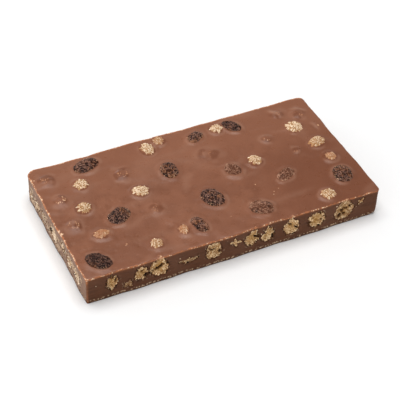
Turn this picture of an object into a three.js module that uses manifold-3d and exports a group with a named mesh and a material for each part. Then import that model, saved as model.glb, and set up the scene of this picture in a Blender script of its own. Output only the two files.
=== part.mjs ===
// A slab of milk chocolate with raisins and crisp biscuit pieces set in it.
// Millimetres, +Z up. The slab lies on its flat underside, its long sides run along X and its
// front side faces -Y. The origin is the middle of the underside.
// Places in the tables are measured from the slab's front left corner. Turns are in degrees,
// anticlockwise as seen from above or, at a side, as seen from outside.

import * as THREE from 'three';
import { mergeVertices } from 'three/addons/utils/BufferGeometryUtils.js';
import Module from 'manifold-3d';

const wasm = await Module();
wasm.setup();

// Driving dimensions of the slab
const LENGTH = 120;
const WIDTH = 62.5;
const THICKNESS = 12.3;
const CORNER_RADIUS = { frontLeft: 1, frontRight: 1.5, backRight: 2.5, backLeft: 4 };
const EDGE_RADIUS = 0.6;
const FOOT_CHAMFER = 0.4;
const WORN_CORNER = { chamfer: 1.5, reach: 3.5 };

// The four sides, each seen from outside: where it starts, which way it runs, and its waves
const SIDES = {
  front: { x: 0, y: 0, turn: 0, wavelength: 34, start: 0.6 },
  right: { x: LENGTH, y: 0, turn: 90, wavelength: 41, start: 2.1 },
  back: { x: LENGTH, y: WIDTH, turn: 180, wavelength: 37, start: 4 },
  left: { x: 0, y: WIDTH, turn: 270, wavelength: 29, start: 5.2 },
};
const SIDE_WAVE = { long: 0.13, short: 0.09, shortPerLong: 2.7, reach: 10 };
const BACK_HOLLOW = { along: 105, half: 14, depth: 0.3 };

// The top rolls gently in two directions
const TOP_WAVES = [
  { height: 0.07, x: 60, y: 132, start: 0 },
  { height: 0.07, x: -107, y: 46, start: 1.1 },
];

// Spacing of the surface points: close at the edges, wider between them
const EDGE_LINES = [0, 0.18, 0.6, 1.5];
const GRID_STEP = 4.3;

// Clearance between a piece and the chocolate round it. A raisin's pocket is a plain oval, with
// few faces, that is wider by the given share so that its flats stay clear too.
const GAP = 0.32;
const RAISIN_POCKET = 1.08;

// Raisins: the oval that shows at the top, and how far it stands out of the slab
const RAISINS = [
  { x: 22.4, y: 56.4, length: 11.4, width: 7.2, turn: 15, proud: 1.3 },
  { x: 50.6, y: 41.6, length: 9.4, width: 7.3, turn: 78, proud: 1.3 },
  { x: 23.3, y: 25.5, length: 9.9, width: 8, turn: 35, proud: 1.4 },
  { x: 7.4, y: 6.9, length: 10.3, width: 7.4, turn: 130, proud: 1.4 },
  { x: 68.3, y: 55.5, length: 7.8, width: 5.8, turn: 32, proud: 1.1 },
  { x: 84.7, y: 56, length: 9, width: 5.9, turn: 122, proud: 1.1 },
  { x: 59.1, y: 20.8, length: 11, width: 8.6, turn: 108, proud: 1.5 },
  { x: 48.5, y: 9.7, length: 9, width: 5.4, turn: 100, proud: 1 },
  { x: 73.3, y: 31.9, length: 8, width: 6.8, turn: 110, proud: 0.8 },
  { x: 90.8, y: 21.9, length: 9, width: 5.8, turn: 30, proud: 0.8 },
  { x: 73.6, y: 8.8, length: 9.6, width: 8.2, turn: 150, proud: 0.9 },
  { x: 111.2, y: 13.5, length: 9.6, width: 7.8, turn: 75, proud: 1.3 },
];
const RAISIN_SHAPE = { heightShare: 0.82, squareness: 2.3 };
const RAISIN_FOLDS = { count: 4, depth: 0.09, twist: 1.3 };

// Biscuit pieces that show at the top
const TOP_BISCUITS = [
  { x: 16.6, y: 47.1, length: 5.9, width: 5.8, turn: 0, proud: 0.9 },
  { x: 13, y: 34.6, length: 5.6, width: 5.5, turn: 40, proud: 0.9 },
  { x: 13.7, y: 19.2, length: 6.5, width: 4.8, turn: 160, proud: 0.6 },
  { x: 35.7, y: 34.9, length: 6.8, width: 5.8, turn: 0, proud: 1 },
  { x: 47.8, y: 56.1, length: 6.8, width: 5.5, turn: 100, proud: 1 },
  { x: 54, y: 59, length: 5, width: 4.3, turn: 70, proud: 0.6 },
  { x: 30.1, y: 7, length: 4.9, width: 4.5, turn: 60, proud: 0.6 },
  { x: 42.1, y: 9.7, length: 5, width: 3.8, turn: 95, proud: 0.6 },
  { x: 78.5, y: 56.9, length: 5.3, width: 5.2, turn: 0, proud: 0.9 },
  { x: 83.6, y: 33.6, length: 5.7, width: 5.3, turn: 80, proud: 0.9 },
  { x: 107.5, y: 45.6, length: 6.6, width: 6.5, turn: 20, proud: 1.1 },
  { x: 111.4, y: 34, length: 7.3, width: 5.6, turn: 25, proud: 1 },
  { x: 112.1, y: 24.2, length: 5.2, width: 4.5, turn: 85, proud: 0.5 },
  { x: 100.1, y: 5.4, length: 6, width: 5.6, turn: 10, proud: 1 },
];
const BISCUIT_SHAPE = { heightShare: 0.9, squareness: 2 };
const BISCUIT_KNOBS = { count: 11, size: 0.2, height: 0.06, crease: 0.2 };

// Pieces wholly under the chocolate, which only lift its surface
const COVERED = [
  { x: 5.2, y: 53.8, size: 6.5, height: 0.7 },
  { x: 6.6, y: 41.3, size: 5.5, height: 0.8 },
  { x: 6.2, y: 27.2, size: 6, height: 0.8 },
  { x: 33.3, y: 46.6, size: 6.5, height: 0.8 },
  { x: 37.3, y: 23.5, size: 6, height: 0.4 },
  { x: 68.6, y: 44.4, size: 8, height: 0.35 },
  { x: 93.8, y: 43.3, size: 4.5, height: 0.7 },
  { x: 105.2, y: 55.6, size: 5.5, height: 0.4 },
  { x: 113.1, y: 52.6, size: 6, height: 0.6 },
  { x: 101.5, y: 31.9, size: 4, height: 0.35 },
];

// The chocolate swells round each piece that shows at the top
const SWELL = { height: 0.35, width: 1.2 };
const MOUND = { fall: 0.7, power: 1.4 };

// Biscuit pieces cut through by a side: where along the side, how high up, and the cut face.
// A hollow is how far the middle of the cut face is broken in. A peak is a knob that reaches
// further out than the rest.
const FRONT_BISCUITS = [
  { along: 9.8, up: 6.9, width: 5.4, height: 7.8, hollow: 0.5, peak: { turn: 88, reach: 5.2 } },
  { along: 16.2, up: 4.3, width: 3.4, height: 3.2, hollow: 0.3 },
  { along: 21.1, up: 7.2, width: 6, height: 7.6, hollow: 0.6 },
  { along: 28.2, up: 7, width: 8.2, height: 8.6, hollow: 1.5, peak: { turn: 88, reach: 6.4 } },
  { along: 39.2, up: 6, width: 6.8, height: 2.8, hollow: 0.3 },
  { along: 49.8, up: 7.1, width: 7.6, height: 8.4, hollow: 1 },
  { along: 58.4, up: 8, width: 5.2, height: 4, hollow: 0.3, peak: { turn: 150, reach: 3 } },
  { along: 65.6, up: 7.1, width: 6.2, height: 8.2, hollow: 0.7, peak: { turn: 60, reach: 4.8 } },
  { along: 72.3, up: 6, width: 5.6, height: 6.6, hollow: 0.5, peak: { turn: 88, reach: 5.2 } },
  { along: 81.9, up: 7, width: 7.5, height: 8.2, hollow: 1.2, peak: { turn: 90, reach: 5.1 } },
  { along: 92.8, up: 7, width: 8, height: 8.2, hollow: 1 },
  { along: 104.7, up: 6.7, width: 9.6, height: 8.2, hollow: 1.5, peak: { turn: 82, reach: 5.4 } },
  { along: 112, up: 8.8, width: 3.4, height: 2.9, hollow: 0.2, peak: { turn: 45, reach: 2.2 } },
];
const LEFT_BISCUITS = [
  { fromFront: 9.7, up: 5.7, width: 7.6, height: 6.6, hollow: 0.9 },
  { fromFront: 17.2, up: 5.9, width: 5.4, height: 6.8, hollow: 0.6 },
  { fromFront: 23.2, up: 6.8, width: 5.2, height: 5, hollow: 0.4 },
  { fromFront: 32.6, up: 5.8, width: 7.8, height: 7, hollow: 1.4 },
  { fromFront: 38.8, up: 4.9, width: 3.3, height: 4, hollow: 0.3 },
  { fromFront: 43.6, up: 4.9, width: 5.4, height: 5, hollow: 0.5 },
  { fromFront: 50.4, up: 4.8, width: 5.6, height: 4.4, hollow: 0.5 },
  { fromFront: 57, up: 5, width: 4.4, height: 3.4, hollow: 0.3 },
];
const SIDE_DEPTH = { share: 0.9, most: 7.6 };
const PEAK_SHARPNESS = 24;
const FACE_EDGE = 0.01;

// The two other sides: how many pieces, and the ranges that their sizes and places come from
const BACK_COUNT = 8;
const RIGHT_COUNT = 4;
const SCATTERED = {
  width: [4.6, 8.8],
  heightShare: [0.85, 1.15],
  tallest: 8,
  up: [5.8, 7],
  shift: [-0.175, 0.175],
  hollowShare: 0.13,
};
const SEEDS = { top: 100, front: 1000, right: 2000, back: 3000, left: 4000, scattered: 7 };

// Round bodies that the lumps are shaped from. The poles of those for the sides lie along Y.
const BALLS = {
  raisin: new THREE.IcosahedronGeometry(1, 2),
  biscuit: new THREE.IcosahedronGeometry(1, 1),
  side: new THREE.SphereGeometry(1, 12, 4),
  smallSide: new THREE.SphereGeometry(1, 8, 4),
};
const SMALL_PIECE = 4.1;
const MERGE_DISTANCE = 1e-3;

// Finishes
const CHOCOLATE = finish(0x8e604b, 0.42);
const RAISIN = finish(0x4b3c36, 0.5);
const BISCUIT = finish(0xc9a87c, 0.85);

function finish(color, roughness) {
  return new THREE.MeshStandardMaterial({ color, roughness, metalness: 0 });
}

// Repeatable random numbers from 0 to 1
function seeded(seed) {
  let state = seed * 2654435761 >>> 0;
  return () => {
    state = state + 0x6d2b79f5 >>> 0;
    let mixed = Math.imul(state ^ state >>> 15, state | 1);
    mixed ^= mixed + Math.imul(mixed ^ mixed >>> 7, mixed | 61);
    return ((mixed ^ mixed >>> 14) >>> 0) / 2 ** 32;
  };
}

function randomWithin([least, most], random) {
  return least + (most - least) * random();
}

function randomDirection(random) {
  const z = randomWithin([-1, 1], random);
  const around = 2 * Math.PI * random();
  const flat = Math.sqrt(1 - z * z);
  return new THREE.Vector3(flat * Math.cos(around), flat * Math.sin(around), z);
}

// A closed lump round its own centre, with a radius for each direction
function lump(ball, radiusAt) {
  const bare = ball.clone();
  bare.deleteAttribute('normal');
  bare.deleteAttribute('uv');
  const geometry = mergeVertices(bare, MERGE_DISTANCE);
  const position = geometry.getAttribute('position');
  const direction = new THREE.Vector3();
  for (let i = 0; i < position.count; i += 1) {
    direction.fromBufferAttribute(position, i).normalize();
    const radius = radiusAt(direction);
    position.setXYZ(i, radius * direction.x, radius * direction.y, radius * direction.z);
  }
  return geometry;
}

// The radius of an oval body; squareness 2 is an ellipsoid, and more is fuller at the corners
function ovalRadius(direction, half, squareness) {
  const sum = Math.abs(direction.x / half.x) ** squareness
    + Math.abs(direction.y / half.y) ** squareness
    + Math.abs(direction.z / half.z) ** squareness;
  return sum ** (-1 / squareness);
}

// Folds that run along a raisin from end to end, with a slow twist
function folds(half, start) {
  const { count, depth, twist } = RAISIN_FOLDS;
  return (direction) => {
    const around = Math.atan2(direction.z / half.z, direction.y / half.y);
    const wave = Math.cos(count * around + twist * direction.x + start);
    return 1 - depth * (0.5 - 0.5 * wave);
  };
}

// Knobs all over a biscuit piece, with creases where they meet
function knobs(random) {
  const { count, size, height, crease } = BISCUIT_KNOBS;
  const middles = Array.from({ length: count }, () => randomDirection(random));
  return (direction) => {
    const nearest = Math.max(...middles.map((middle) => middle.dot(direction)));
    return 1 + height - crease * Math.min(1, (1 - nearest) / size);
  };
}

// The half sizes of a body that is sunk in the top so that its visible oval is as given
function sunkHalfSizes(place, { heightShare, squareness }) {
  const halfHeight = heightShare * place.width / 2;
  const level = (halfHeight - place.proud) / halfHeight;
  const share = (1 - level ** squareness) ** (1 / squareness);
  return new THREE.Vector3(place.length / 2 / share, place.width / 2 / share, halfHeight);
}

// How far a side lies inside its straight line, at a distance along it
function sideWave(side, along) {
  const { wavelength, start } = SIDES[side];
  const turns = 2 * Math.PI * along / wavelength;
  const wave = SIDE_WAVE.long * Math.sin(turns + start)
    + SIDE_WAVE.short * Math.sin(SIDE_WAVE.shortPerLong * turns + 2 * start);
  if (side !== 'back') return wave;
  const fromHollow = (along - BACK_HOLLOW.along) / BACK_HOLLOW.half;
  return wave + BACK_HOLLOW.depth * Math.exp(-fromHollow * fromHollow);
}

// A point of the plain rectangle, moved onto the slab's own outline: the corners are rounded by
// drawing each corner's square onto a quarter disc, and the sides wander in and out
function outlined(x, y) {
  const left = x < LENGTH / 2;
  const front = y < WIDTH / 2;
  const radius = CORNER_RADIUS[`${front ? 'front' : 'back'}${left ? 'Left' : 'Right'}`];
  const middleX = left ? radius : LENGTH - radius;
  const middleY = front ? radius : WIDTH - radius;
  const outX = left ? middleX - x : x - middleX;
  const outY = front ? middleY - y : y - middleY;
  const inCorner = outX > 0 && outY > 0;
  const rounding = inCorner ? Math.max(outX, outY) / Math.hypot(outX, outY) : 1;
  const nearness = (distance) => Math.max(0, 1 - distance / SIDE_WAVE.reach);
  return {
    x: (inCorner ? middleX + (x - middleX) * rounding : x)
      + sideWave('left', WIDTH - y) * nearness(x)
      - sideWave('right', y) * nearness(LENGTH - x),
    y: (inCorner ? middleY + (y - middleY) * rounding : y)
      + sideWave('front', x) * nearness(y)
      - sideWave('back', LENGTH - x) * nearness(WIDTH - y),
  };
}

// A smooth mound of height 1 over an oval, which dies out just outside it
function mound(x, y, place, halfLength, halfWidth) {
  const angle = THREE.MathUtils.degToRad(place.turn ?? 0);
  const dx = x - place.x;
  const dy = y - place.y;
  const along = (dx * Math.cos(angle) + dy * Math.sin(angle)) / halfLength;
  const across = (dy * Math.cos(angle) - dx * Math.sin(angle)) / halfWidth;
  return Math.exp(-MOUND.fall * (along * along + across * across) ** MOUND.power);
}

// The top of the chocolate before its edges are rounded
function topHeight(x, y) {
  let top = THICKNESS;
  for (const wave of TOP_WAVES) {
    top += wave.height * Math.sin(2 * Math.PI * (x / wave.x + y / wave.y) + wave.start);
  }
  for (const place of COVERED) {
    top += place.height * mound(x, y, place, place.size / 2, place.size / 2);
  }
  for (const place of [...RAISINS, ...TOP_BISCUITS]) {
    const halfLength = place.length / 2 + SWELL.width;
    const halfWidth = place.width / 2 + SWELL.width;
    top += SWELL.height * mound(x, y, place, halfLength, halfWidth);
  }
  return top;
}

// How far the rounded edge lies below the top, at a distance in from the outline
function edgeDrop(inward) {
  const short = Math.max(0, EDGE_RADIUS - inward);
  return EDGE_RADIUS - Math.sqrt(EDGE_RADIUS ** 2 - short ** 2);
}

// The chamfer at the foot, which is larger at the worn front right corner
function footChamfer(x, y) {
  const nearness = Math.max(0, 1 - Math.hypot(LENGTH - x, y) / WORN_CORNER.reach);
  return FOOT_CHAMFER + (WORN_CORNER.chamfer - FOOT_CHAMFER) * nearness;
}

function gridLines(span) {
  const edge = EDGE_LINES.at(-1);
  const steps = Math.round((span - 2 * edge) / GRID_STEP);
  const between = Array.from({ length: steps + 1 }, (_, i) => edge + (span - 2 * edge) * i / steps);
  const ends = EDGE_LINES.slice(0, -1);
  return [...ends, ...between, ...ends.map((line) => span - line).reverse()];
}

// The indexes of a grid's outermost points, anticlockwise from its first corner
function rimOf(columns, rows) {
  const rim = [];
  for (let column = 0; column < columns - 1; column += 1) rim.push(column);
  for (let row = 0; row < rows - 1; row += 1) rim.push(row * columns + columns - 1);
  for (let column = columns - 1; column > 0; column -= 1) rim.push((rows - 1) * columns + column);
  for (let row = rows - 1; row > 0; row -= 1) rim.push(row * columns);
  return rim;
}

// The slab without its pockets: a top that follows topHeight, upright sides and a flat foot
function slabGeometry() {
  const linesX = gridLines(LENGTH);
  const linesY = gridLines(WIDTH);
  const columns = linesX.length;
  const rows = linesY.length;
  const points = [];
  const triangles = [];
  const add = (x, y, z) => points.push(x - LENGTH / 2, y - WIDTH / 2, z) / 3 - 1;
  const quad = (a, b, c, d) => triangles.push(a, b, c, a, c, d);

  for (const y of linesY) {
    for (const x of linesX) {
      const place = outlined(x, y);
      const inward = Math.min(x, y, LENGTH - x, WIDTH - y);
      add(place.x, place.y, topHeight(x, y) - edgeDrop(inward));
    }
  }
  for (let row = 0; row < rows - 1; row += 1) {
    for (let column = 0; column < columns - 1; column += 1) {
      const corner = row * columns + column;
      quad(corner, corner + 1, corner + columns + 1, corner + columns);
    }
  }

  const rim = rimOf(columns, rows);
  const shoulders = [];
  const soles = [];
  for (const corner of rim) {
    const x = linesX[corner % columns];
    const y = linesY[Math.floor(corner / columns)];
    const place = outlined(x, y);
    const chamfer = footChamfer(x, y);
    const soleX = place.x + (LENGTH / 2 - place.x) * chamfer / (LENGTH / 2);
    const soleY = place.y + (WIDTH / 2 - place.y) * chamfer / (WIDTH / 2);
    shoulders.push(add(place.x, place.y, chamfer));
    soles.push(add(soleX, soleY, 0));
  }
  rim.forEach((corner, i) => {
    const next = (i + 1) % rim.length;
    quad(shoulders[i], shoulders[next], rim[next], corner);
    quad(soles[i], soles[next], shoulders[next], shoulders[i]);
  });
  const outline = soles.map((sole) => new THREE.Vector2(points[3 * sole], points[3 * sole + 1]));
  for (const [a, b, c] of THREE.ShapeUtils.triangulateShape(outline, [])) {
    triangles.push(soles[c], soles[b], soles[a]);
  }

  const geometry = new THREE.BufferGeometry();
  geometry.setAttribute('position', new THREE.Float32BufferAttribute(points, 3));
  geometry.setIndex(triangles);
  return geometry;
}

// Each piece's pocket, a slightly larger shape in the piece's own place
const pocketShapes = new Map();

function piece(stem, index, material, body, pocket) {
  const mesh = new THREE.Mesh(body, material);
  mesh.name = `${stem}_${String(index + 1).padStart(2, '0')}`;
  pocketShapes.set(mesh, pocket);
  return mesh;
}

function placeOnTop(mesh, place, halfHeight) {
  const level = topHeight(place.x, place.y) + place.proud - halfHeight;
  mesh.position.set(place.x - LENGTH / 2, place.y - WIDTH / 2, level);
  mesh.rotation.z = THREE.MathUtils.degToRad(place.turn);
  return mesh;
}

function raisin(place, index) {
  const half = sunkHalfSizes(place, RAISIN_SHAPE);
  const folded = folds(half, index);
  const oval = (direction) => ovalRadius(direction, half, RAISIN_SHAPE.squareness);
  const body = lump(BALLS.raisin, (direction) => oval(direction) * folded(direction));
  const pocket = lump(BALLS.biscuit, (direction) => oval(direction) * RAISIN_POCKET + GAP);
  return placeOnTop(piece('raisin', index, RAISIN, body, pocket), place, half.z);
}

function topBiscuit(place, index) {
  const half = sunkHalfSizes(place, BISCUIT_SHAPE);
  const knobbly = knobs(seeded(SEEDS.top + index));
  const oval = (direction) => ovalRadius(direction, half, BISCUIT_SHAPE.squareness);
  const body = lump(BALLS.biscuit, (direction) => oval(direction) * knobbly(direction));
  const pocket = lump(BALLS.biscuit, (direction) => oval(direction) * knobbly(direction) + GAP);
  return placeOnTop(piece('biscuit_top', index, BISCUIT, body, pocket), place, half.z);
}

// How much further a peak reaches than the rest of the body, in a direction
function peakExtra(direction, half, peak) {
  if (!peak) return 0;
  const turn = THREE.MathUtils.degToRad(peak.turn);
  const towards = new THREE.Vector3(Math.cos(turn), 0, Math.sin(turn));
  const near = Math.max(0, direction.dot(towards)) ** PEAK_SHARPNESS;
  return near * Math.max(0, peak.reach - ovalRadius(towards, half, BISCUIT_SHAPE.squareness));
}

// The half of a lump that would stand out of the side becomes its cut face, whose edge stays in
// the side and whose middle is broken in
function crumbledFace(geometry, hollow, random) {
  const position = geometry.getAttribute('position');
  const outward = Array.from({ length: position.count }, (_, i) => -position.getY(i));
  const furthest = Math.max(...outward);
  outward.forEach((out, i) => {
    const share = out / furthest;
    if (share > FACE_EDGE) position.setY(i, hollow * share * share * (0.5 + random()));
  });
  return geometry;
}

// A biscuit piece at a side, in that side's own directions: X along it, Y into the slab, Z up
function sideBiscuit(side, place, index) {
  const random = seeded(SEEDS[side] + index);
  const knobbly = knobs(random);
  const depth = Math.min(SIDE_DEPTH.most, SIDE_DEPTH.share * (place.width + place.height) / 2);
  const half = new THREE.Vector3(place.width / 2, depth / 2, place.height / 2);
  const ball = Math.max(place.width, place.height) < SMALL_PIECE ? BALLS.smallSide : BALLS.side;
  const radius = (direction) => ovalRadius(direction, half, BISCUIT_SHAPE.squareness)
    * knobbly(direction) + peakExtra(direction, half, place.peak);
  const inset = sideWave(side, place.along);
  const body = crumbledFace(lump(ball, radius), place.hollow, random);
  const pocket = lump(ball, (direction) => radius(direction) + GAP);
  body.translate(place.along, inset, place.up);
  pocket.translate(place.along, inset, place.up);
  return piece(`biscuit_${side}`, index, BISCUIT, body, pocket);
}

// Biscuit pieces along a side that isn't described piece by piece, evenly spread
function scattered(span, count) {
  const random = seeded(SEEDS.scattered + count);
  return Array.from({ length: count }, (_, i) => {
    const width = randomWithin(SCATTERED.width, random);
    const height = Math.min(SCATTERED.tallest, width * randomWithin(SCATTERED.heightShare, random));
    const along = span / count * (i + 0.5 + randomWithin(SCATTERED.shift, random));
    const up = randomWithin(SCATTERED.up, random);
    return { along, up, width, height, hollow: SCATTERED.hollowShare * width };
  });
}

function sideGroup(side, places) {
  const { x, y, turn } = SIDES[side];
  const group = new THREE.Group();
  group.position.set(x - LENGTH / 2, y - WIDTH / 2, 0);
  group.rotation.z = THREE.MathUtils.degToRad(turn);
  places.forEach((place, index) => group.add(sideBiscuit(side, place, index)));
  return group;
}

// A solid for cutting, with a mesh's place applied to its geometry
function solidOf(geometry, matrix = new THREE.Matrix4()) {
  const bare = new THREE.BufferGeometry();
  bare.setAttribute('position', geometry.getAttribute('position').clone());
  bare.applyMatrix4(matrix);
  const vertProperties = bare.getAttribute('position').array;
  const triVerts = new Uint32Array(geometry.index.array);
  return new wasm.Manifold(new wasm.Mesh({ numProp: 3, vertProperties, triVerts }));
}

function geometryOf(solid, matrix = new THREE.Matrix4()) {
  const { vertProperties, triVerts } = solid.getMesh();
  const geometry = new THREE.BufferGeometry();
  geometry.setAttribute('position', new THREE.BufferAttribute(new Float32Array(vertProperties), 3));
  geometry.setIndex(new THREE.BufferAttribute(new Uint32Array(triVerts), 1));
  geometry.applyMatrix4(matrix);
  geometry.computeVertexNormals();
  return geometry;
}

// Cuts every piece's pocket out of the slab. Where two pieces would meet, the later one is cut
// back to leave the same gap.
function pocketedSlab(pieces) {
  let slab = solidOf(slabGeometry());
  const pockets = [];
  for (const mesh of pieces) {
    const pocket = solidOf(pocketShapes.get(mesh), mesh.matrixWorld);
    const { min, max } = pocket.boundingBox();
    const box = new THREE.Box3(new THREE.Vector3(...min), new THREE.Vector3(...max));
    const near = pockets.filter((other) => other.box.intersectsBox(box));
    if (near.length > 0) {
      let body = solidOf(mesh.geometry, mesh.matrixWorld);
      for (const other of near) body = body.subtract(other.pocket);
      mesh.geometry = geometryOf(body, mesh.matrixWorld.clone().invert());
    }
    slab = slab.subtract(pocket);
    pockets.push({ pocket, box });
  }
  return geometryOf(slab);
}

// The whole bar
const bar = new THREE.Group();
const leftPlaces = LEFT_BISCUITS.map((place) => ({ ...place, along: WIDTH - place.fromFront }));
bar.add(...RAISINS.map(raisin));
bar.add(...TOP_BISCUITS.map(topBiscuit));
bar.add(sideGroup('front', FRONT_BISCUITS));
bar.add(sideGroup('left', leftPlaces));
bar.add(sideGroup('back', scattered(LENGTH, BACK_COUNT)));
bar.add(sideGroup('right', scattered(WIDTH, RIGHT_COUNT)));
bar.updateMatrixWorld(true);

const chocolate = new THREE.Mesh(pocketedSlab([...pocketShapes.keys()]), CHOCOLATE);
chocolate.name = 'chocolate';
bar.add(chocolate);

export default bar;
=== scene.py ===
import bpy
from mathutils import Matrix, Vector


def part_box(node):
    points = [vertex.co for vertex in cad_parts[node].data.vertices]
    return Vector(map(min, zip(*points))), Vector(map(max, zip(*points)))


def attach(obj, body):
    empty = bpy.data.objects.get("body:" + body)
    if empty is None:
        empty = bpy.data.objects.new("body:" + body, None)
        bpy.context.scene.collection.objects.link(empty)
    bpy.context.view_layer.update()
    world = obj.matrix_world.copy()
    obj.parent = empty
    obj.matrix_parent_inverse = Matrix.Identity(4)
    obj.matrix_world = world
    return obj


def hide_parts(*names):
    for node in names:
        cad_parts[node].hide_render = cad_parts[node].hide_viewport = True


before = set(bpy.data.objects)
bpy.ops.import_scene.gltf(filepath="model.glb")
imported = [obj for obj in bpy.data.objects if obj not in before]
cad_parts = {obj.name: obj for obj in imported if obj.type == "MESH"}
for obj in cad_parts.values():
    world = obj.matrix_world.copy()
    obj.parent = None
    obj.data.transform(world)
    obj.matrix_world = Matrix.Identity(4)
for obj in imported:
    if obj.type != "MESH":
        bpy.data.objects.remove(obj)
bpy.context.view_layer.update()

# The looks of a slab of milk chocolate with raisins and crisp biscuit pieces.
# Shapes are worked out in millimetres and handed to Blender in metres. Places in the tables
# are measured from the slab's front left corner, and turns are in degrees.

import itertools
import math

import bmesh
import bpy
import numpy as np
from mathutils import Matrix, Vector
from mathutils.geometry import delaunay_2d_cdt

MM = 0.001
BODY = "root"

# A distance greater than any that is compared with it
FAR = 9.0

# The slab, as in its solid
LENGTH = 120.0
WIDTH = 62.5
THICKNESS = 12.3
MIDDLE = (LENGTH / 2, WIDTH / 2, 0)
CORNER_RADIUS = {"front_left": 1, "front_right": 1.5, "back_right": 2.5, "back_left": 4}
EDGE_RADIUS = 0.5
FOOT_CHAMFER = 0.4
WORN_CORNER = {"chamfer": 1.9, "reach": 3.8}

# The rounding of the foot: height, inset, and inset at the worn corner, as shares of it
FOOT_LEVELS = [(0.55, 0.03, 0.16), (0.25, 0.15, 0.42), (0.08, 0.45, 0.7), (0.0, 1.0, 1.0)]
SIDE_WAVE = {"long": 0.13, "short": 0.09, "short_per_long": 2.7, "reach": 10}
BACK_HOLLOW = {"along": 105, "half": 14, "depth": 0.3}
TOP_WAVES = ((0.07, 60, 132, 0.0), (0.07, -107, 46, 1.1))

# Each side as seen from outside: its start, direction, way in, and its waves
SIDES = {
    "front": {"start": (0, 0), "along": (1, 0), "inward": (0, 1), "wavelength": 34, "phase": 0.6},
    "right": {"start": (LENGTH, 0), "along": (0, 1), "inward": (-1, 0), "wavelength": 41, "phase": 2.1},
    "back": {"start": (LENGTH, WIDTH), "along": (-1, 0), "inward": (0, -1), "wavelength": 37, "phase": 4.0},
    "left": {"start": (0, WIDTH), "along": (0, -1), "inward": (1, 0), "wavelength": 29, "phase": 5.2},
}

# Raisins: place, length, width, turn, how far each stands out, and how much of it lies under
# a film of chocolate
RAISINS = (
    (22.4, 56.4, 11.4, 7.2, 15, 1.3, 0.32),
    (50.6, 41.6, 9.4, 7.3, 78, 1.3, 0.0),
    (23.3, 25.5, 9.9, 8.0, 35, 1.4, -0.1),
    (7.4, 6.9, 10.3, 7.4, 130, 1.4, -0.5),
    (68.3, 55.5, 7.8, 5.8, 32, 1.1, 0.3),
    (84.7, 56.0, 9.0, 5.9, 122, 1.1, -0.18),
    (59.1, 20.8, 11.0, 8.6, 108, 1.5, 0.05),
    (48.5, 9.7, 9.0, 5.4, 100, 1.0, 0.4),
    (73.3, 31.9, 8.0, 6.8, 110, 0.8, 0.7),
    (90.8, 21.9, 9.0, 5.8, 30, 0.8, 0.84),
    (73.6, 8.8, 9.6, 8.2, 150, 0.9, 0.75),
    (111.2, 13.5, 9.6, 7.8, 75, 1.3, 0.1),
)

# Biscuit pieces at the top, in the same way; a last value below 0 is a paler piece
TOP_BISCUITS = (
    (16.6, 47.1, 5.9, 5.8, 0, 0.9, -0.12),
    (13.0, 34.6, 5.6, 5.5, 40, 0.9, 0.0),
    (13.7, 19.2, 6.5, 4.8, 160, 0.6, 0.65),
    (35.7, 34.9, 6.8, 5.8, 0, 1.0, -0.15),
    (47.8, 56.1, 6.8, 5.5, 100, 1.0, -0.1),
    (54.0, 59.0, 5.0, 4.3, 70, 0.6, 0.3),
    (30.1, 7.0, 4.9, 4.5, 60, 0.6, 0.15),
    (42.1, 9.7, 5.0, 3.8, 95, 0.6, 0.5),
    (78.5, 56.9, 5.3, 5.2, 0, 0.9, -0.2),
    (83.6, 33.6, 5.7, 5.3, 80, 0.9, -0.06),
    (107.5, 45.6, 6.6, 6.5, 20, 1.1, -0.18),
    (111.4, 34.0, 7.3, 5.6, 25, 1.0, 0.1),
    (112.1, 24.2, 5.2, 4.5, 85, 0.5, 0.48),
    (100.1, 5.4, 6.0, 5.6, 10, 1.0, 0.0),
)
RAISIN_SHAPE = {"height_share": 0.82, "squareness": 2.3}
BISCUIT_SHAPE = {"height_share": 0.9, "squareness": 2.0}

# How much wider a biscuit piece at the top is with its spikes than without
STAR_SPAN = 1.12

# How much higher the pieces at the top sit than the rolling top alone would have them
PIECE_LIFT = 0.3

# Pieces wholly under the chocolate: place, size, how far they lift the top, and how much of
# their crumb shows through
COVERED = (
    (5.2, 53.8, 6.5, 0.7, 0.35),
    (6.6, 41.3, 5.5, 0.8, 1.15),
    (6.2, 27.2, 6.0, 0.8, 0.65),
    (33.3, 46.6, 6.5, 0.8, 0.45),
    (37.3, 23.5, 6.0, 0.5, 0.25),
    (68.6, 44.4, 8.0, 0.35, 0.1),
    (93.8, 43.3, 4.5, 0.7, 1.3),
    (105.2, 55.6, 5.5, 0.55, 0.1),
    (113.1, 52.6, 6.0, 0.7, 0.35),
    (101.5, 31.9, 4.0, 0.35, 0.3),
)

# Small pale crumbs in the top, and then at its front and left edges: place and size
FLECKS = (
    (19.9, 10.8, 1.0), (60.8, 9.2, 0.8), (77.4, 21.2, 0.7), (81.2, 13.7, 0.8), (82.4, 15.1, 0.7),
    (84.5, 16.2, 0.6), (117.0, 42.9, 0.9),
    (28.4, 0.1, 2.0), (10.0, 0.1, 1.1), (72.6, 0.1, 1.1), (66.3, 0.1, 0.9), (82.0, 0.1, 1.0),
    (105.3, 0.1, 1.0),
    (0.9, 55.6, 0.9), (0.1, 56.2, 1.0), (0.1, 45.0, 1.0), (0.0, 37.0, 1.3), (0.1, 31.5, 0.9),
    (0.1, 27.0, 1.1), (0.3, 24.9, 1.3), (0.0, 21.5, 1.1),
)
FLECK_STRENGTH = {"left_edge": 1.4, "elsewhere": 1.05}

# Soft waves in the chocolate, painted pale as sheen with painted shade beside them: place, length, width,
# turn and strength
WAVES = (
    (104.9, 56.2, 7.5, 2.4, -52, 1.5),
    (114.4, 54.7, 6.0, 1.8, -30, 1.2),
    (115.8, 43.0, 5.0, 1.7, -64, 0.9),
    (65.6, 44.7, 6.5, 2.8, 10, 0.7),
    (72.6, 45.0, 4.5, 1.8, -35, 0.5),
    (54.0, 33.0, 12.0, 3.2, 55, 0.5),
    (101.9, 34.4, 4.0, 1.6, -30, 0.7),
)
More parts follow.
